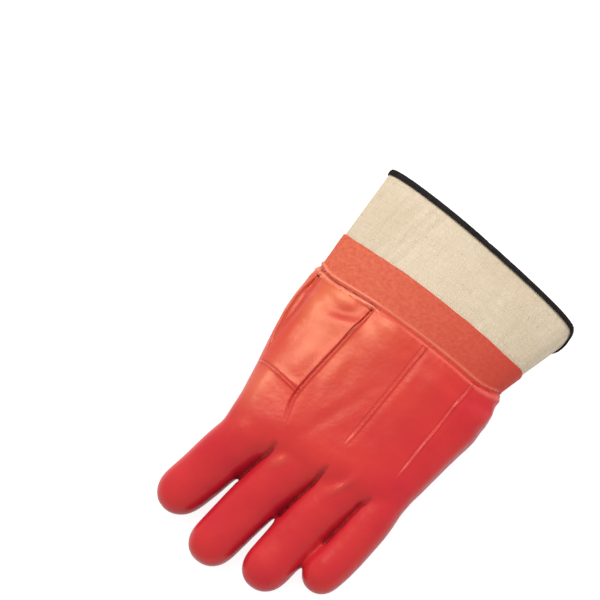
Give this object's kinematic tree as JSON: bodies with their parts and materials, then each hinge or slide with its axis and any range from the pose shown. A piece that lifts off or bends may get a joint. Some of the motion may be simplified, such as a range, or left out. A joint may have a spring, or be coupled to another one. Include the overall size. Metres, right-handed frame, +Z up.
{
  "type": "pvc coated work glove",
  "caption": "Orange-red PVC coated work glove for the left hand, lying back up, with seamed back and a flared canvas safety cuff bound at its rim.",
  "frame": {"origin": "middle of the bounding box, on the surface that the glove lies on", "axes": "+Y from the cuff to the fingertips, +X to the index finger's side, +Z up, out of the back of the hand"},
  "size_m": [0.1564, 0.2782, 0.0417],
  "materials": {
    "pvc_coating": "semi-gloss, smooth",
    "band_coating": "matt, slightly grainy",
    "canvas": "matt plain weave",
    "binding": "matt ribbed"
  },
  "bodies": {
    "root": {"hand": "pvc_coating", "cuff_band": "band_coating", "safety_cuff": "canvas", "cuff_binding": "binding"}
  },
  "joints": []
}
